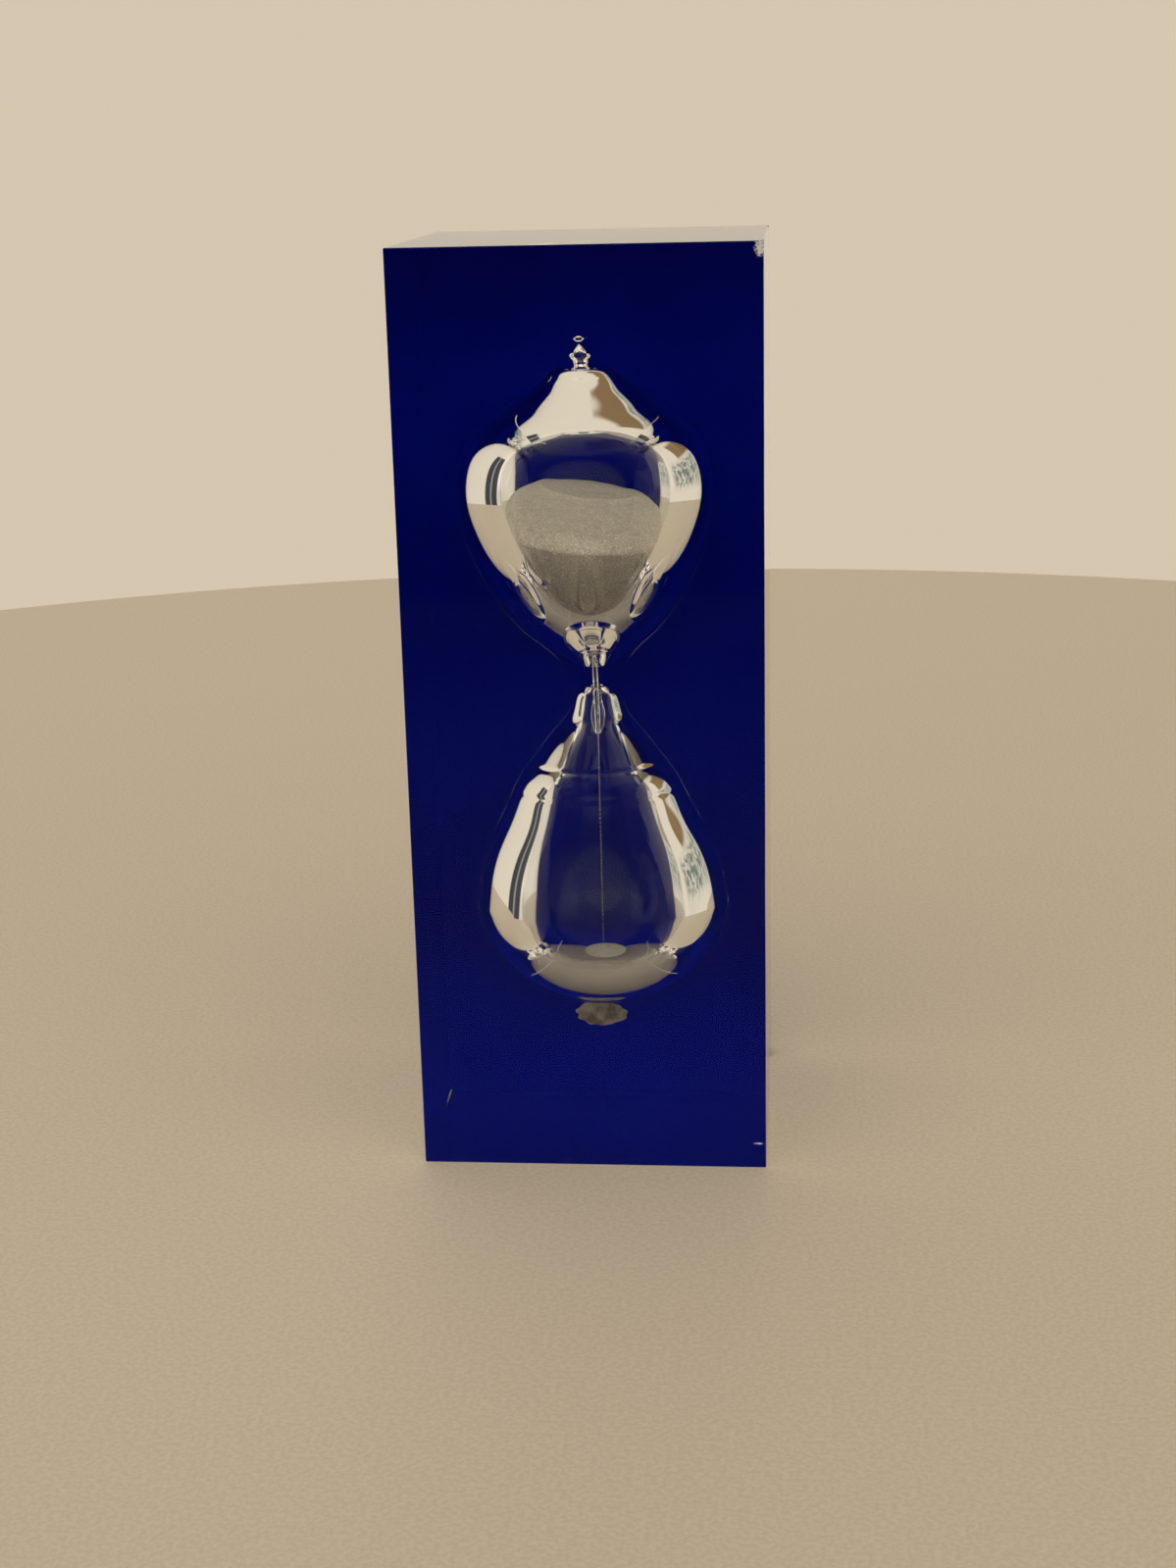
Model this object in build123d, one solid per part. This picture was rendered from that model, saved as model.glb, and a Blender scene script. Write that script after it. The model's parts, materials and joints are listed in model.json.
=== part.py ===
from build123d import *
import math
import os

# Sand timer cast in a clear acrylic block with a blue back.
# Frame: millimetres, +Z up, +Y to the back, origin at the centre of the base.

# The block
block_width = 50.8
block_depth = 46.0
block_height = 133.35
back_thickness = 4.0
edge_radius = 0.4

# The glass vial. Its axis passes through (axis_x, axis_y) at the neck and leans a little
# to the left at the top, because the vial was set by hand before the resin hardened.
axis_x = 0.30
axis_y = -2.0
neck_height = 67.0
lean_degrees = 1.15
glass_wall = 0.5
bulb_radius = 18.25
upper_belly = (bulb_radius, 98.0)
lower_belly = (bulb_radius, 36.9)
lower_floor_height = 21.6

# The neck: a fine throat through solid glass, which ends in a nozzle in the lower bulb
throat_radius = 0.45
nozzle_top_radius = 1.0
nozzle_end_radius = 1.6
nozzle_end_height = 64.5
lower_joint = 69.9
upper_joint = 73.0
neck_outside = [(3.85, 68.8), (4.1, 70.9), (5.0, 73.6)]

# The sealed tip on the dome
tip_joint = 116.5
tip_outside = [(2.2, 117.3), (1.8, 118.5), (1.35, 119.6), (0.8, 120.6), (0.0, 121.0)]

# The sand. Its surface in the upper bulb has slumped: it falls to the front and to the right,
# with a shallow crater behind the middle.
sand_gap = 0.15
sand_level = 96.4
fall_to_front = 14.0
fall_to_right = 8.0
crater_centre = (0.5, 11.0)
crater_radius = 11.5
crater_depth = 1.8
stream_radius = 0.2
stream_foot_gap = 0.05
pool_height = 22.45

# The shallow air pocket under the vial: width, depth front to back, height
pocket_size = (7.9, 0.5, 4.0)
pocket_height = 18.6

# Outlines of the air inside the glass, as (radius, height)
upper_rim = (2.4, upper_joint)
upper_cone = [(4.2, 74.4), (6.4, 76.0), (9.1, 78.3), (11.7, 81.2), (13.9, 84.7), (15.9, 88.7), (17.5, 93.3)]
shoulder = [(17.9, 101.8), (17.1, 104.4), (15.8, 106.6), (13.9, 108.6), (11.3, 110.4), (8.3, 112.4)]
dome = [(5.8, 114.2), (3.4, 115.8)]
tip = [(1.1, 116.5), (1.58, 117.3), (0.9, 118.4), (0.0, 119.1)]
lower_top = (1.9, lower_joint)
lower_cone = [(2.9, 68.8), (3.4, 67.3), (3.9, 65.8), (5.4, 63.8), (7.2, 61.6), (9.1, 59.1), (11.1, 56.3)]
lower_side = [(13.0, 52.4), (15.6, 47.2), (17.6, 41.0)]


def smooth(points, first, last):
    """Smooth line through the points, with the given directions at its two ends."""
    return Spline(*points, tangents=[first, last], tangent_scalars=(1, 1))


def moved_out(points, distance):
    """The inner points of an outline that runs upwards, moved square to it, away from the axis."""
    moved = []
    for before, point, after in zip(points, points[1:], points[2:]):
        along = (Vector(*after) - Vector(*before)).normalized()
        moved.append((point[0] + distance * along.Y, point[1] - distance * along.X))
    return moved


def spun(*lines):
    """Solid of revolution of a half section drawn as (radius, height)."""
    outline = Curve() + list(lines)
    return revolve(make_face(Plane.XZ * outline), Axis.Z)


def between(low, high, radius=2 * bulb_radius):
    """Cylinder on the vial's axis, from one height to another."""
    return Pos(0, 0, (low + high) / 2) * Cylinder(radius, high - low)


def leaning(solid):
    """The solid where the vial holds it, with its axis leaning."""
    foot = Pos(0, 0, -neck_height)
    return Pos(axis_x, axis_y, neck_height) * Rot(0, -lean_degrees, 0) * foot * solid


def bowl(gap, top=lower_belly[1]):
    """Half outline of the lower bulb's floor up to a height, moved out of the air by a gap."""
    radius = bulb_radius + gap
    depth = lower_belly[1] - lower_floor_height + gap
    sweep = 90 - math.degrees(math.asin((lower_belly[1] - top) / depth))
    return EllipticalCenterArc((0, lower_belly[1]), radius, depth, start_angle=270, arc_size=sweep)


def upper_space():
    """The air in the upper bulb, its dome and the sealed tip."""
    cone = smooth([upper_rim, *upper_cone, upper_belly], (1, 0.7), (0, 1))
    top = smooth([upper_belly, *shoulder, *dome, *tip], (0, 1), (-0.4, 1))
    return spun(cone, top, Polyline(tip[-1], (0, upper_joint), upper_rim))


def lower_space():
    """The air in the lower bulb, as if the nozzle were not there."""
    side = smooth([lower_top, *lower_cone, *lower_side, lower_belly], (1, -1.1), (0, -1))
    axis = Polyline((0, lower_floor_height), (0, lower_joint), lower_top)
    return spun(side, bowl(0), axis)


def vial_outside():
    """Everything inside the outer surface of the glass, air included."""
    lower_line = [lower_belly, *reversed(lower_side), *reversed(lower_cone)]
    upper_line = [*upper_cone, upper_belly, *shoulder, *dome]
    belly = (bulb_radius + glass_wall, lower_belly[1])
    middle = [*moved_out(lower_line, glass_wall), *neck_outside, *moved_out(upper_line, glass_wall)]
    side = smooth([belly, *middle, *tip_outside], (0, 1), (-1, 0))
    axis = Line(tip_outside[-1], (0, lower_floor_height - glass_wall))
    return spun(side, axis, bowl(glass_wall))


def vial_glass():
    """The whole vial in one, without its nozzle."""
    channel = between(lower_joint - glass_wall, upper_joint + glass_wall, throat_radius)
    return vial_outside() - upper_space() - lower_space() - channel


def nozzle():
    """Drop-shaped spout of glass that hangs in the top of the lower bulb."""
    side = Spline(
        (nozzle_top_radius, lower_joint),
        (nozzle_top_radius, lower_joint - 2.4),
        (nozzle_end_radius, nozzle_end_height + 1.3),
        (throat_radius, nozzle_end_height),
    )
    end = (throat_radius, nozzle_end_height)
    top = (throat_radius, lower_joint)
    return spun(side, Polyline(end, top, (nozzle_top_radius, lower_joint)))


def above_the_sand():
    """Everything above the slumped surface: a tilted slab with the crater's cone under it."""
    slab = Pos(0, 0, bulb_radius) * Box(4 * bulb_radius, 4 * bulb_radius, 2 * bulb_radius)
    crater = Pos(*crater_centre, -crater_depth / 2) * Cone(0.5, crater_radius, crater_depth)
    return Pos(0, 0, sand_level) * Rot(fall_to_front, fall_to_right, 0) * (slab + crater)


def upper_sand():
    """Sand that fills the cone of the upper bulb up to its slumped surface."""
    wall = moved_out([upper_rim, *upper_cone, upper_belly, *shoulder[:2]], -sand_gap)
    foot = upper_joint + sand_gap
    side = smooth(wall, (1, 0.7), (-0.1, 1))
    axis = Polyline(wall[-1], (0, wall[-1][1]), (0, foot), (throat_radius, foot), wall[0])
    return spun(side, axis) - above_the_sand()


def lower_sand():
    """The few grains that have run through, lying flat in the floor of the lower bulb."""
    floor = bowl(-sand_gap, pool_height)
    return spun(floor, Polyline(floor @ 1, (0, pool_height), floor @ 0))


def sand_stream():
    """Thin thread of falling sand, truly vertical, from the throat to the pool."""
    foot = pool_height + stream_foot_gap
    height = upper_joint - foot
    return Pos(axis_x, axis_y, foot + height / 2) * Cylinder(stream_radius, height)


def whole_block():
    """The cast block with its slightly softened edges."""
    box = Pos(0, 0, block_height / 2) * Box(block_width, block_depth, block_height)
    return fillet(box.edges(), edge_radius)


def back_space():
    """The slab of the block behind the joint with the blue back."""
    middle = (block_depth - back_thickness) / 2
    return Pos(0, middle, block_height / 2) * Box(2 * block_width, back_thickness, 2 * block_height)


def air_pocket():
    """Flat lens of air caught in the resin under the vial."""
    return Pos(axis_x, axis_y, pocket_height) * scale(Sphere(0.5), by=pocket_size)


def assembly():
    """All the sub-parts by name, in place."""
    glass = vial_glass()
    block = whole_block()
    return {
        "clear_block": block - back_space() - leaning(vial_outside()) - air_pocket(),
        "blue_back": block & back_space(),
        "upper_bulb": leaning(glass & between(upper_joint, tip_joint)),
        "seal_tip": leaning(glass & between(tip_joint, block_height)),
        "neck": leaning((glass & between(lower_joint, upper_joint)) + nozzle()),
        "lower_bulb": leaning(glass & between(0, lower_joint)),
        "upper_sand": leaning(upper_sand()),
        "sand_stream": sand_stream(),
        "lower_sand": leaning(lower_sand()),
    }


os.makedirs("parts", exist_ok=True)
for name, solid in assembly().items():
    export_step(solid, f"parts/{name}.step")
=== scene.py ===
import json
import math

import bmesh
import bpy
import numpy as np
from mathutils import Matrix, Vector, noise


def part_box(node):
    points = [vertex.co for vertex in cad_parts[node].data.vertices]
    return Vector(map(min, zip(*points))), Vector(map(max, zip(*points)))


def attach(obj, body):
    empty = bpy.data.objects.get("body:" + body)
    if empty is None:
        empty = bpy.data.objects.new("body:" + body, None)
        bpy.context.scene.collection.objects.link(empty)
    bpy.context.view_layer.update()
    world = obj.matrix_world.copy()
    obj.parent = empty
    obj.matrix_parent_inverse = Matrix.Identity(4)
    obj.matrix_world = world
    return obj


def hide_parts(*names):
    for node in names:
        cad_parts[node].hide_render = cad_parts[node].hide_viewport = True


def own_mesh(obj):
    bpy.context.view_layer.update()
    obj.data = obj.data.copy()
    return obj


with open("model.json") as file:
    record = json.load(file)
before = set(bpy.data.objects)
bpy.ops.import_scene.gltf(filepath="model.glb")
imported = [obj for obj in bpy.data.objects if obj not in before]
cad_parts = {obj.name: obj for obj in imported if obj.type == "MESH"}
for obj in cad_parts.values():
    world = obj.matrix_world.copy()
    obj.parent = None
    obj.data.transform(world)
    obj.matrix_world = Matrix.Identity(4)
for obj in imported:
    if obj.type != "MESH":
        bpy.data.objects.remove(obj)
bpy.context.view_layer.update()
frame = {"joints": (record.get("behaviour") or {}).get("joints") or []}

# Looks for the sand timer cast in an acrylic block. Metres, in the CAD frame.
# Light passes many surfaces here, so each one carries the index step of its own boundary: the outside
# of the block is acrylic against air, the bonded faces have no step at all, the outside of the vial has
# the small step from acrylic to glass, and its inside is glass against air, which shines like silver.

MM = 0.001
noise.seed_set(7)  # without a seed, noise vectors differ from run to run
clear_low, clear_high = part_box("clear_block")
blue_low, blue_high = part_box("blue_back")
block_centre_x = (clear_low.x + clear_high.x) / 2

# Index steps
ACRYLIC_TO_AIR = 1.49
GLASS_TO_AIR = 1.51
GLASS_IN_ACRYLIC = 1.014
BONDED = 1.0

# The vial's axis, from the frame: the stream falls through the pivot, and the slide runs along the axis
NECK_HEIGHT = 67 * MM
slide = frame["joints"][0]
stream_low, stream_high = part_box("sand_stream")
stream_axis = Vector(((stream_low.x + stream_high.x) / 2, (stream_low.y + stream_high.y) / 2, 0))
pivot = stream_axis + Vector((0, 0, NECK_HEIGHT))
axis_direction = Vector(slide["axis"])
lean = Matrix.Rotation(math.atan2(axis_direction.x, axis_direction.z), 3, "Y")

# Outlines of the air inside the vial, as (radius, height) in millimetres
BULB_RADIUS = 18.25
LOWER_BELLY = (BULB_RADIUS, 36.9)
UPPER_BELLY = (BULB_RADIUS, 98.0)
FLOOR_HEIGHT = 21.6
LOWER_SIDE = [(17.6, 41.0), (15.6, 47.2), (13.0, 52.4)]
LOWER_CONE = [(11.1, 56.3), (9.1, 59.1), (7.2, 61.6), (5.4, 63.8), (3.9, 65.8), (3.4, 67.3), (2.9, 68.8)]
LOWER_TOP = (1.9, 69.9)
UPPER_RIM = (2.4, 73.0)
UPPER_CONE = [(4.2, 74.4), (6.4, 76.0), (9.1, 78.3), (11.7, 81.2), (13.9, 84.7), (15.9, 88.7), (17.5, 93.3)]
SHOULDER = [(17.9, 101.8), (17.1, 104.4), (15.8, 106.6), (13.9, 108.6), (11.3, 110.4), (8.3, 112.4)]
DOME = [(5.8, 114.2), (3.4, 115.8)]
TIP = [(1.1, 116.5), (1.58, 117.3), (0.9, 118.4), (0.0, 119.1)]

# The glass round it, and the softened edges of the block. The two gaps keep bonded faces just apart.
WALL = 0.5
EDGE = 0.2
BOND_GAP = 0.02
JOINT_GAP = 0.002
WAIST = [(3.85, 68.8), (4.1, 70.9), (5.0, 73.6)]
TIP_OUTSIDE = [(2.2, 117.3), (1.8, 118.5), (1.35, 119.6), (0.8, 120.6), (0.0, 121.0)]
BUBBLE_HEIGHT = 119.75
THROAT = 0.45
NOZZLE_END = 64.5
NOZZLE_SIDE = [(THROAT, NOZZLE_END), (1.5, NOZZLE_END + 1.3), (1.0, LOWER_TOP[1] - 2.1), (1.0, LOWER_TOP[1])]

# The sand: its level on the vial's axis, how it falls, its crater, and the pool under it
SAND_GAP = 0.06
SAND_LEVEL = 96.4
FALL_TO_RIGHT = 0.14
FALL_TO_FRONT = 0.25
CRATER = (0.5, 11.0)
CRATER_REACH = (13.0, 10.0)
CRATER_DEPTH = 2.0
POOL_RADIUS = 5.45
POOL_TOP = 22.5
GRAIN_RADIUS = 0.085
GRAIN_SPREAD = 0.13

# The air pocket under the vial
POCKET_HEIGHT = 18.6


# --- outlines ---------------------------------------------------------------------------------

def smooth_line(points, steps=8):
    """Points along a natural cubic spline through the given ones, steps to a span."""
    points = np.array(points, float)
    gaps = np.linalg.norm(np.diff(points, axis=0), axis=1)
    count = len(points)
    system = np.eye(count)
    target = np.zeros((count, 2))
    slopes = np.diff(points, axis=0) / gaps[:, None]
    for i in range(1, count - 1):
        system[i, i - 1:i + 2] = (gaps[i - 1], 2 * (gaps[i - 1] + gaps[i]), gaps[i])
        target[i] = 6 * (slopes[i] - slopes[i - 1])
    bend = np.linalg.solve(system, target)
    line = []
    for i in range(count - 1):
        for t in np.linspace(0, 1, steps, endpoint=False):
            u = 1 - t
            curve = ((u ** 3 - u) * bend[i] + (t ** 3 - t) * bend[i + 1]) * gaps[i] ** 2 / 6
            line.append(u * points[i] + t * points[i + 1] + curve)
    line.append(points[-1])
    return [tuple(p) for p in line]


def moved_out(points, distance):
    """The inner points of an upward outline, moved square to it, away from the axis."""
    moved = []
    for before, point, after in zip(points, points[1:], points[2:]):
        along = (Vector(after) - Vector(before)).normalized()
        moved.append((point[0] + distance * along.y, point[1] - distance * along.x))
    return moved


def floor_arc(gap, reach, steps):
    """Elliptical floor of the lower bulb out to a radius, moved out of the air by a gap."""
    end = math.asin(reach / BULB_RADIUS)
    depth = LOWER_BELLY[1] - FLOOR_HEIGHT + gap
    angles = [end * i / steps for i in range(steps + 1)]
    return [((BULB_RADIUS + gap) * math.sin(a), LOWER_BELLY[1] - depth * math.cos(a)) for a in angles]


def lower_line():
    """Inner outline of the lower bulb, from its belly to its top."""
    return [LOWER_BELLY, *LOWER_SIDE, *LOWER_CONE, LOWER_TOP]


def upper_line():
    """Inner outline of the upper bulb, from its rim at the throat to the joint with the tip."""
    return [UPPER_RIM, *UPPER_CONE, UPPER_BELLY, *SHOULDER, *DOME]


def outside_line():
    """Outer surface of the glass, from the middle of its floor to the end of the tip."""
    lower = moved_out(lower_line(), WALL)[:-1]
    upper = moved_out(upper_line(), WALL)[1:]
    belly = (BULB_RADIUS + WALL, LOWER_BELLY[1])
    return floor_arc(WALL, BULB_RADIUS, 40)[:-1] + smooth_line([belly, *lower, *WAIST, *upper, *TIP_OUTSIDE])


def inside_line():
    """Inner surface of the glass, from the middle of its floor, round the nozzle, to the tip's point."""
    nozzle = smooth_line(NOZZLE_SIDE)[::-1]
    throat = [(THROAT, NOZZLE_END + 0.2), (THROAT, UPPER_RIM[1] - 0.2), (THROAT + 0.2, UPPER_RIM[1])]
    floor = floor_arc(0, BULB_RADIUS, 40)[:-1]
    side = [(radius + blown_ripple(height), height) for radius, height in smooth_line(lower_line(), 14)]
    return floor + side + nozzle + throat + smooth_line([*upper_line(), *TIP])


def blown_ripple(height):
    """Faint rings that the glass blower's tools left round the lower bulb."""
    ridges = [(54.6, 0.3, -0.07), (56.4, 1.1, 0.05), (58.3, 0.3, -0.08)]
    return sum(size * math.exp(-((height - middle) / width) ** 2) for middle, width, size in ridges)


def sway(height):
    """How far the hand-blown vial strays to the right of its straight axis at a height."""
    return 0.48 * math.exp(-((height - 68) / 7) ** 2) + 0.4 * math.exp(-((height - 113) / 4) ** 2)


def in_place(radius, angle, height):
    """A point of the vial, given about its own axis in millimetres, in the row frame in metres."""
    across = radius * math.cos(angle) + sway(height)
    local = Vector((across, radius * math.sin(angle), height)) * MM
    local.z -= NECK_HEIGHT
    return pivot + lean @ local


# --- meshes -----------------------------------------------------------------------------------

def new_piece(name, mesh_source, materials, body, slot, *nodes):
    """A finished piece: its mesh, its materials, the body it rides on and the CAD nodes it stands for."""
    mesh = bpy.data.meshes.new(name)
    mesh_source.to_mesh(mesh)
    mesh_source.free()
    for material in materials:
        mesh.materials.append(material)
    piece = bpy.data.objects.new(name, mesh)
    bpy.context.scene.collection.objects.link(piece)
    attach(piece, body)
    if nodes:
        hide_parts(*nodes)
    return piece


def spin(mesh, line, material=0, inward=False, segments=144, shift=0.0):
    """Adds the surface of revolution of an outline to a mesh, closed at the axis at both its ends."""
    rings = []
    for radius, height in line:
        if radius < 1e-6:
            rings.append([mesh.verts.new(in_place(0, 0, height))])
        else:
            angles = [2 * math.pi * k / segments for k in range(segments)]
            rings.append([mesh.verts.new(in_place(radius + shift, a, height)) for a in angles])
    for below, above in zip(rings, rings[1:]):
        for k in range(segments):
            corners = [below[k % len(below)], below[(k + 1) % len(below)]]
            corners += [above[(k + 1) % len(above)], above[k % len(above)]]
            corners = list(dict.fromkeys(corners))
            if inward:
                corners.reverse()
            face = mesh.faces.new(corners)
            face.material_index = material
            face.smooth = True


def soft_box(mesh, low, high, radius, joint_y, side_material, joint_material):
    """Adds a box with softened edges, sharp only round its bonded face at joint_y."""
    made = bmesh.ops.create_cube(mesh, size=1)
    for vert in made["verts"]:
        vert.co = Vector([low[i] if vert.co[i] < 0 else high[i] for i in range(3)])
    edges = dict.fromkeys(edge for vert in made["verts"] for edge in vert.link_edges)
    soft = [edge for edge in edges if any(abs(v.co.y - joint_y) > 1e-6 for v in edge.verts)]
    bmesh.ops.bevel(
        mesh, geom=soft, offset=radius, segments=4, profile=0.5, affect="EDGES", clamp_overlap=True
    )
    for face in mesh.faces:
        at_joint = all(abs(v.co.y - joint_y) < 1e-6 for v in face.verts)
        face.material_index = joint_material if at_joint else side_material
        face.smooth = face.calc_area() < 1e-4 and not at_joint


# --- materials --------------------------------------------------------------------------------

class Nodes:
    """Short calls for building a node material."""

    def __init__(self, name):
        self.material = bpy.data.materials.new(name)
        self.material.use_nodes = True
        self.tree = self.material.node_tree
        self.shader = self.tree.nodes["Principled BSDF"]
        self.place = self.add("ShaderNodeTexCoord").outputs["Object"]

    def add(self, kind, **values):
        node = self.tree.nodes.new(kind)
        for key, value in values.items():
            if hasattr(node, key) and key not in node.inputs:
                setattr(node, key, value)
            else:
                node.inputs[key].default_value = value
        return node

    def link(self, source, target):
        self.tree.links.new(source, target)

    def noise(self, scale, detail=2.0, stretch=None, turn=(0, 0, 0)):
        """Cloudy noise, drawn out along the axes where stretch is given."""
        place = self.place
        if stretch:
            mapping = self.add("ShaderNodeMapping")
            mapping.inputs["Rotation"].default_value = turn
            mapping.inputs["Scale"].default_value = stretch
            self.link(place, mapping.inputs["Vector"])
            place = mapping.outputs["Vector"]
        node = self.add("ShaderNodeTexNoise")
        node.inputs["Scale"].default_value = scale
        node.inputs["Detail"].default_value = detail
        self.link(place, node.inputs["Vector"])
        return node.outputs["Fac"]

    def cells(self, scale, output="Distance"):
        node = self.add("ShaderNodeTexVoronoi")
        node.inputs["Scale"].default_value = scale
        self.link(self.place, node.inputs["Vector"])
        return node.outputs[output]

    def spot(self, centre, radius, stretch):
        """Ragged white spot about a point, 1 in the middle and 0 outside."""
        away = self.add("ShaderNodeVectorMath", operation="SUBTRACT")
        self.link(self.place, away.inputs[0])
        away.inputs[1].default_value = centre
        scaled = self.add("ShaderNodeVectorMath", operation="MULTIPLY")
        self.link(away.outputs["Vector"], scaled.inputs[0])
        scaled.inputs[1].default_value = [value / radius for value in stretch]
        length = self.add("ShaderNodeVectorMath", operation="LENGTH")
        self.link(scaled.outputs["Vector"], length.inputs[0])
        ragged = self.add("ShaderNodeMath", operation="ADD")
        self.link(length.outputs["Value"], ragged.inputs[0])
        self.link(self.noise(3000, 4), ragged.inputs[1])
        return self.ramp(ragged.outputs["Value"], (0.75, 0.6), (1.05, 0.0))

    def share(self, axis, start, end):
        """How far a point has come from one coordinate to another along an axis, 0 to 1."""
        split = self.add("ShaderNodeSeparateXYZ")
        self.link(self.place, split.inputs["Vector"])
        node = self.add("ShaderNodeMapRange")
        node.inputs["From Min"].default_value = start
        node.inputs["From Max"].default_value = end
        self.link(split.outputs[axis], node.inputs["Value"])
        return node.outputs["Result"]

    def multiply(self, first, second):
        """Product of two colours."""
        node = self.add("ShaderNodeMix", data_type="RGBA", blend_type="MULTIPLY")
        node.inputs["Factor"].default_value = 1.0
        self.link(first, node.inputs[6])
        self.link(second, node.inputs[7])
        return node.outputs[2]

    def ramp(self, source, *stops):
        """Colour ramp through (position, colour or grey) stops."""
        node = self.add("ShaderNodeValToRGB")
        ends = node.color_ramp.elements
        while len(ends) < len(stops):
            ends.new(0.5)
        for element, (position, colour) in zip(ends, stops):
            element.position = position
            element.color = (*colour, 1) if isinstance(colour, tuple) else (colour, colour, colour, 1)
        self.link(source, node.inputs["Fac"])
        return node.outputs["Color"]

    def bump(self, height, distance, strength=1.0):
        node = self.add("ShaderNodeBump")
        node.inputs["Distance"].default_value = distance
        node.inputs["Strength"].default_value = strength
        self.link(height, node.inputs["Height"])
        self.link(node.outputs["Normal"], self.shader.inputs["Normal"])

    def set(self, **values):
        for key, value in values.items():
            self.shader.inputs[key.replace("_", " ")].default_value = value


def see_through(name, index, colour=(1, 1, 1), roughness=0.0):
    """Clear boundary with a given index step."""
    made = Nodes(name)
    made.set(Base_Color=(*colour, 1), Roughness=roughness, IOR=index, Transmission_Weight=1.0)
    made.set(Specular_Tint=(0.19, 0.22, 0.21, 1))
    return made


def acrylic_surface():
    """Polished outer face of the clear casting, with hairline scratches, a chipped corner and a nick."""
    made = see_through("acrylic_polished", ACRYLIC_TO_AIR, (0.985, 0.992, 0.99))
    scratches = made.noise(260, 3, stretch=(1, 14, 1), turn=(0.4, 0.9, 0.3))
    scuffs = made.ramp(scratches, (0.68, 0.0), (0.76, 0.12))
    corner = Vector((clear_high.x - 0.5 * MM, clear_low.y, clear_high.z - 0.9 * MM))
    chip = made.spot(corner, 1.5 * MM, (1.0, 1.0, 0.6))
    nick = made.spot(Vector((clear_high.x - 1.2 * MM, clear_low.y, 3.9 * MM)), 0.9 * MM, (0.5, 1.0, 3.5))
    scar = made.add("ShaderNodeMath", operation="ADD", use_clamp=True)
    made.link(chip, scar.inputs[0])
    made.link(nick, scar.inputs[1])
    clear = made.add("ShaderNodeMath", operation="SUBTRACT")
    clear.inputs[0].default_value = 1.0
    made.link(scar.outputs["Value"], clear.inputs[1])
    made.link(clear.outputs["Value"], made.shader.inputs["Transmission Weight"])
    rough = made.add("ShaderNodeMath", operation="MULTIPLY_ADD", use_clamp=True)
    rough.inputs[1].default_value = 0.5
    made.link(scar.outputs["Value"], rough.inputs[0])
    made.link(scuffs, rough.inputs[2])
    made.link(rough.outputs["Value"], made.shader.inputs["Roughness"])
    return made.material


def crazed_skin():
    """Frosted skin of the air pocket, where the resin has crazed."""
    made = see_through("pocket_crazed", ACRYLIC_TO_AIR, roughness=0.4)
    made.set(Transmission_Weight=0.35)
    tone = made.ramp(made.noise(700, 4), (0.35, (0.12, 0.105, 0.095)), (0.7, (0.36, 0.33, 0.30)))
    made.link(tone, made.shader.inputs["Base Color"])
    made.bump(made.noise(1500, 3), 0.0001, 0.6)
    return made.material


def blue_pigment(name, index, coat):
    """Opaque cobalt pigmented acrylic."""
    made = Nodes(name)
    cloud = made.noise(60, 3)
    colour = made.ramp(cloud, (0.35, (0.0005, 0.0024, 0.155)), (0.65, (0.0008, 0.0032, 0.18)))
    made.link(colour, made.shader.inputs["Base Color"])
    if coat:
        rough = made.ramp(made.noise(900, 4), (0.4, 0.04), (0.75, 0.14))
        made.link(rough, made.shader.inputs["Roughness"])
        made.set(IOR=index)
    else:
        made.set(IOR=index, Roughness=0.9, Specular_IOR_Level=0.0)
    return made.material


def sand_grains():
    """Fine dry sand: tiny grey and tan grains, rare bright facets, streaks, and painted shade that turns it a
    darker gold-brown low in the cone.
    """
    made = Nodes("fine_sand")
    grain = made.cells(9000, "Color")
    grey = made.add("ShaderNodeSeparateColor")
    made.link(grain, grey.inputs["Color"])
    tint = made.ramp(
        grey.outputs["Red"],
        (0.0, (0.40, 0.365, 0.31)),
        (0.45, (0.55, 0.525, 0.46)),
        (0.85, (0.64, 0.62, 0.55)),
        (1.0, (0.98, 0.97, 0.93)),
    )
    shade = made.ramp(made.noise(650, 3, stretch=(1, 1, 0.06)), (0.35, 0.88), (0.65, 1.0))
    # Painted shade: a darker gold-brown tone low in the upper bulb's cone, standing in for the light that
    # reaches the sand less there.
    painted_cone_shade = made.ramp(
        made.share("Z", 60 * MM, 100 * MM),
        (0.0, (1.0, 1.0, 1.0)),
        (0.42, (0.48, 0.40, 0.30)),
        (0.62, (0.68, 0.66, 0.62)),
        (0.82, (0.93, 0.93, 0.92)),
    )
    colour = made.multiply(made.multiply(tint, shade), painted_cone_shade)
    made.link(colour, made.shader.inputs["Base Color"])
    shine = made.ramp(grey.outputs["Green"], (0.9, 0.85), (0.97, 0.15))
    made.link(shine, made.shader.inputs["Roughness"])
    made.bump(made.cells(9000), 0.00005, 0.5)
    return made.material


acrylic_outer = acrylic_surface()
acrylic_bond = see_through("acrylic_bonded", BONDED).material
glass_outer = see_through("vial_outside", GLASS_IN_ACRYLIC, (0.995, 1.0, 0.998)).material
glass_inner = see_through("vial_inside", GLASS_TO_AIR).material
pocket_skin = crazed_skin()
blue_inner = blue_pigment("blue_bonded", 1.0, False)
blue_outer = blue_pigment("blue_polished", 1.49, True)
sand = sand_grains()


# --- pieces -----------------------------------------------------------------------------------

def clear_casting():
    """The clear block, with the void that the vial fills and the air pocket."""
    mesh = bmesh.new()
    soft_box(mesh, clear_low, clear_high, EDGE * MM, clear_high.y, 0, 1)
    spin(mesh, outside_line(), material=1, inward=True, shift=BOND_GAP)
    add_pocket(mesh, 2)
    skins = [acrylic_outer, acrylic_bond, pocket_skin]
    new_piece("clear_casting", mesh, skins, "block", "clear_acrylic", "clear_block")


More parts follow.
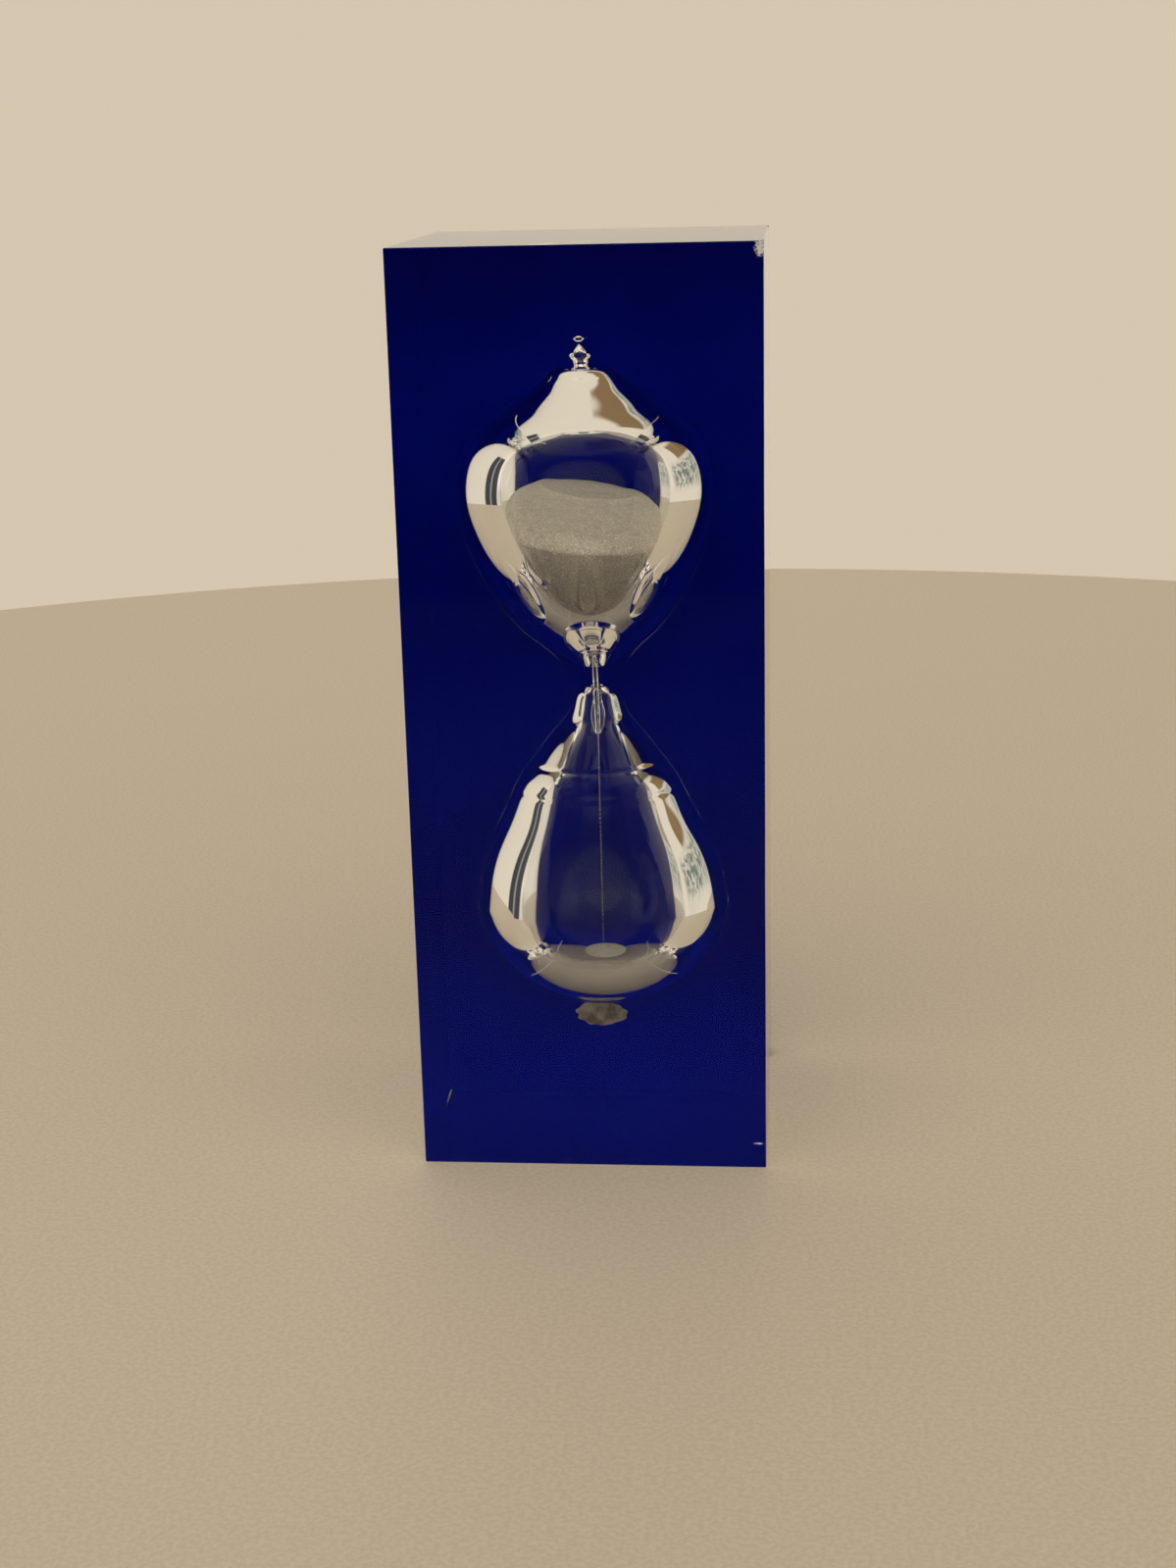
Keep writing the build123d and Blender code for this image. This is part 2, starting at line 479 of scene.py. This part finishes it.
def add_pocket(mesh, material):
    """Thin wavy lens of air in the resin under the vial, facing into the void."""
    made = bmesh.ops.create_icosphere(mesh, subdivisions=4, radius=1)
    for vert in made["verts"]:
        x, y, z = vert.co
        ragged = 1 + 0.22 * noise.noise(Vector((x, 0, z)) * 2.5)
        shape = Vector((3.8 * x * ragged * (1 + 0.25 * z), 0.22 * y, 1.95 * z * ragged))
        vert.co = pivot + Vector((shape.x, shape.y, POCKET_HEIGHT - NECK_HEIGHT / MM + shape.z)) * MM
    for face in {face for vert in made["verts"] for face in vert.link_faces}:
        face.normal_flip()
        face.material_index = material
        face.smooth = True


def blue_layer():
    """The blue back, bonded to the clear block."""
    mesh = bmesh.new()
    joint = blue_low.y + JOINT_GAP * MM
    soft_box(mesh, Vector((blue_low.x, joint, blue_low.z)), blue_high, EDGE * MM, joint, 0, 1)
    new_piece("blue_layer", mesh, [blue_outer, blue_inner], "block", "blue_acrylic", "blue_back")


def glass_vial():
    """The whole vial in one: its outside, its inside, and a small bubble in the sealed tip."""
    mesh = bmesh.new()
    spin(mesh, outside_line(), material=0)
    spin(mesh, inside_line(), material=1, inward=True)
    turns = [math.pi * k / 12 for k in range(13)]
    bubble = [(0.8 * abs(math.sin(a)), BUBBLE_HEIGHT - 0.5 * math.cos(a)) for a in turns]
    spin(mesh, bubble, material=1, inward=True)
    nodes = ["upper_bulb", "seal_tip", "neck", "lower_bulb"]
    new_piece("glass_vial", mesh, [glass_outer, glass_inner], "block", "vial_glass", *nodes)


def sand_surface(x, y):
    """Height of the upper sand: it has slumped to the front and the right, round a crater behind."""
    inside = 1 - math.hypot((x - CRATER[0]) / CRATER_REACH[0], (y - CRATER[1]) / CRATER_REACH[1])
    crater = CRATER_DEPTH * max(0.0, inside) ** 0.8
    crest = 0.22 * math.exp(-(inside * 9) ** 2)
    ripple = 0.2 * noise.noise(Vector((x, y, 0)) * 0.3)
    out = math.hypot(x, y)
    facing = 0.35 + 0.325 * (1 - y / max(out, 1.0))
    settled = 1.1 * facing * max(0.0, (out - 13.3) / 4) ** 2
    return SAND_LEVEL - FALL_TO_RIGHT * x + FALL_TO_FRONT * y - crater + crest + ripple - settled


def upper_charge():
    """The sand in the upper bulb, just inside the glass up to its slumped surface."""
    wall = smooth_line(upper_line(), 24)
    radii, heights = [p[0] - SAND_GAP for p in wall], [p[1] for p in wall]
    mesh = bmesh.new()
    segments, rows, steps = 160, 60, 40
    foot = UPPER_RIM[1] + SAND_GAP
    columns = []
    for k in range(segments):
        angle = 2 * math.pi * k / segments
        rim = SAND_LEVEL
        for _ in range(4):
            radius = np.interp(rim, heights, radii)
            rim = sand_surface(radius * math.cos(angle), radius * math.sin(angle))
        side = [foot + (rim - foot) * i / rows for i in range(rows + 1)]
        column = [mesh.verts.new(in_place(np.interp(z, heights, radii), angle, z)) for z in side]
        edge = np.interp(rim, heights, radii)
        for i in range(1, steps):
            radius = edge * (1 - i / steps)
            height = sand_surface(radius * math.cos(angle), radius * math.sin(angle))
            column.append(mesh.verts.new(in_place(radius, angle, height)))
        columns.append(column)
    top = mesh.verts.new(in_place(0, 0, sand_surface(0, 0)))
    bottom = mesh.verts.new(in_place(0, 0, foot))
    for k, column in enumerate(columns):
        beside = columns[(k + 1) % segments]
        for i in range(len(column) - 1):
            mesh.faces.new((column[i], beside[i], beside[i + 1], column[i + 1]))
        mesh.faces.new((column[-1], beside[-1], top))
        mesh.faces.new((column[0], bottom, beside[0]))
    for face in mesh.faces:
        face.smooth = True
    new_piece("upper_sand_charge", mesh, [sand], "block", "sand", "upper_sand")


def lower_pool():
    """The sand that has run through, a shallow pool in the floor of the lower bulb."""
    floor = floor_arc(-SAND_GAP, POOL_RADIUS, 10)
    rim = floor[-1]
    line = floor + [(rim[0] * (1 - i / 8), rim[1] + 0.02 * i) for i in range(1, 9)]
    mesh = bmesh.new()
    spin(mesh, line)
    new_piece("lower_sand_pool", mesh, [sand], "loose_sand", "sand", "lower_sand")


def falling_sand():
    """Grains that fall one after another, further apart as they gain speed."""
    mesh = bmesh.new()
    height = UPPER_RIM[1] - 0.2
    count = 0
    while height > POOL_TOP + 0.15:
        drop = max(0.0, NOZZLE_END - height)
        spread = GRAIN_SPREAD + 0.0015 * drop
        for k in range(3):
            seed = Vector((count * 1.7, k * 5.3, 0.5))
            offset = noise.noise_vector(seed) * spread
            size = GRAIN_RADIUS + 0.03 * noise.noise(seed * 2)
            centre = stream_axis + Vector((offset.x + sway(68), offset.y, height + offset.z)) * MM
            place = Matrix.Translation(centre)
            bmesh.ops.create_icosphere(mesh, subdivisions=1, radius=size * MM, matrix=place)
        height -= 0.2 * math.sqrt(1 + drop / 2)
        count += 1
    piece = new_piece("falling_sand", mesh, [sand], "block", "sand", "sand_stream")
    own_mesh(piece)


clear_casting()
blue_layer()
glass_vial()
upper_charge()
lower_pool()
falling_sand()


# --- stage, light and camera ------------------------------------------------------------------

def stage_floor():
    """Plain pale disc a hair under the block, with painted shade that darkens it far out in front."""
    mesh = bmesh.new()
    bmesh.ops.create_circle(mesh, cap_ends=True, segments=128, radius=0.45)
    data = bpy.data.meshes.new("floor")
    mesh.to_mesh(data)
    mesh.free()
    floor = bpy.data.objects.new("floor", data)
    floor.location.z = -0.05 * MM
    bpy.context.scene.collection.objects.link(floor)
    made = Nodes("floor_pale")
    colour = made.ramp(made.noise(1400, 4), (0.4, (0.52, 0.475, 0.415)), (0.6, (0.58, 0.53, 0.465)))
    # Painted shade: the floor darkens far out in front of the block, as if in shadow, so the block's front
    # face reflects a dark floor.
    painted_front_shade = made.ramp(made.share("Y", -0.34, -0.13), (0.0, (0.10, 0.09, 0.08)), (1.0, (1.0, 1.0, 1.0)))
    made.link(made.multiply(colour, painted_front_shade), made.shader.inputs["Base Color"])
    made.set(Roughness=0.6)
    data.materials.append(made.material)


def light_world():
    """Soft studio light, fuller from the front above and dim from the front below, with a few soft panels."""
    world = bpy.data.worlds.new("studio")
    bpy.context.scene.world = world
    world.use_nodes = True
    tree = world.node_tree
    tree.nodes.clear()
    out = tree.nodes.new("ShaderNodeOutputWorld")
    mix = tree.nodes.new("ShaderNodeMixShader")
    path = tree.nodes.new("ShaderNodeLightPath")
    seen = tree.nodes.new("ShaderNodeBackground")
    seen.inputs["Color"].default_value = (0.67, 0.57, 0.43, 1)
    room = tree.nodes.new("ShaderNodeBackground")
    place = tree.nodes.new("ShaderNodeTexCoord")
    split = tree.nodes.new("ShaderNodeSeparateXYZ")
    tree.links.new(place.outputs["Generated"], split.inputs["Vector"])

    def ranged(source, start, end, low, high):
        """Smooth change from one value to another while the source goes from start to end."""
        node = tree.nodes.new("ShaderNodeMapRange")
        node.interpolation_type = "SMOOTHSTEP"
        node.inputs["From Min"].default_value = start
        node.inputs["From Max"].default_value = end
        node.inputs["To Min"].default_value = low
        node.inputs["To Max"].default_value = high
        tree.links.new(source, node.inputs["Value"])
        return node.outputs["Result"]

    below = ranged(split.outputs["Y"], -0.85, -0.1, 0.05, 1.0)
    above = ranged(split.outputs["Y"], -0.8, 0.1, 2.1, 1.0)
    blend = tree.nodes.new("ShaderNodeMix")
    tree.links.new(ranged(split.outputs["Z"], -0.02, 0.25, 0.0, 1.0), blend.inputs["Factor"])
    tree.links.new(below, blend.inputs["A"])
    tree.links.new(above, blend.inputs["B"])
    tree.links.new(blend.outputs["Result"], room.inputs["Strength"])

    around = tree.nodes.new("ShaderNodeMath")
    around.operation = "ARCTAN2"
    tree.links.new(split.outputs["X"], around.inputs[0])
    tree.links.new(split.outputs["Y"], around.inputs[1])

    def card(left, right, low, high, edge, under, colour):
        """A soft-edged panel of another tone, between two angles from the back and two heights."""
        sides = [math.radians(value) for value in (left, right)]
        parts = [
            ranged(around.outputs["Value"], sides[0] - edge, sides[0] + edge, 0.0, 1.0),
            ranged(around.outputs["Value"], sides[1] - edge, sides[1] + edge, 1.0, 0.0),
            ranged(split.outputs["Z"], low - edge, low + edge, 0.0, 1.0),
            ranged(split.outputs["Z"], high - edge, high + edge, 1.0, 0.0),
        ]
        share = parts[0]
        for part in parts[1:]:
            product = tree.nodes.new("ShaderNodeMath")
            product.operation = "MULTIPLY"
            tree.links.new(share, product.inputs[0])
            tree.links.new(part, product.inputs[1])
            share = product.outputs["Value"]
        over = tree.nodes.new("ShaderNodeMix")
        over.data_type = "RGBA"
        tree.links.new(share, over.inputs["Factor"])
        tree.links.new(under, over.inputs[6])
        tree.links.new(colour, over.inputs[7])
        return over.outputs[2]

    def flat(colour):
        """One plain colour."""
        node = tree.nodes.new("ShaderNodeRGB")
        node.outputs["Color"].default_value = (*colour, 1)
        return node.outputs["Color"]

    dapple = tree.nodes.new("ShaderNodeTexNoise")
    dapple.inputs["Scale"].default_value = 10.0
    dapple.inputs["Detail"].default_value = 3.0
    dapple.inputs["Distortion"].default_value = 1.2
    tree.links.new(place.outputs["Generated"], dapple.inputs["Vector"])
    dappled = tree.nodes.new("ShaderNodeValToRGB")
    dappled.color_ramp.elements[0].position = 0.40
    dappled.color_ramp.elements[0].color = (0.17, 0.19, 0.15, 1)
    dappled.color_ramp.elements[1].position = 0.60
    dappled.color_ramp.elements[1].color = (0.62, 0.58, 0.47, 1)
    tree.links.new(dapple.outputs["Fac"], dappled.inputs["Fac"])

    tone = flat((0.72, 0.63, 0.49))
    tone = card(-101, -78, -0.3, 0.72, 0.02, tone, flat((0.05, 0.05, 0.06)))
    tone = card(-91, -88, -0.3, 0.72, 0.01, tone, flat((0.30, 0.27, 0.22)))
    tone = card(6, 64, 0.50, 0.86, 0.04, tone, flat((0.24, 0.15, 0.07)))
    tone = card(18, 86, 0.02, 0.44, 0.09, tone, dappled.outputs["Color"])
    tree.links.new(tone, room.inputs["Color"])
    tree.links.new(path.outputs["Is Camera Ray"], mix.inputs["Fac"])
    tree.links.new(room.outputs["Background"], mix.inputs[1])
    tree.links.new(seen.outputs["Background"], mix.inputs[2])
    tree.links.new(mix.outputs["Shader"], out.inputs["Surface"])


def camera():
    """Camera at the viewing angle of the reference view, placed from the block's size."""
    height = clear_high.z
    data = bpy.data.cameras.new("camera")
    data.lens = 52.71
    data.sensor_width = 36
    data.clip_start = 0.01
    turn = Matrix.Rotation(math.radians(5.57), 3, "Z")
    dip = Matrix.Rotation(math.radians(-16.02), 3, "X")
    roll = Matrix.Rotation(math.radians(1.42), 3, "Y")
    upright = Matrix.Rotation(math.radians(90), 3, "X")
    place = Vector((block_centre_x + 0.2303 * height, clear_low.y - 2.3303 * height, 1.1139 * height))
    eye = bpy.data.objects.new("camera", data)
    bpy.context.scene.collection.objects.link(eye)
    eye.matrix_world = Matrix.Translation(place) @ (turn @ dip @ roll @ upright).to_4x4()
    bpy.context.scene.camera = eye


def render_settings():
    """Enough bounces for light to cross every wall of the vial twice."""
    scene = bpy.context.scene
    scene.view_settings.view_transform = "Standard"
    scene.cycles.max_bounces = 40
    scene.cycles.transmission_bounces = 40
    scene.cycles.glossy_bounces = 24
    scene.cycles.diffuse_bounces = 4
    scene.cycles.blur_glossy = 0.0


stage_floor()
light_world()
camera()
render_settings()
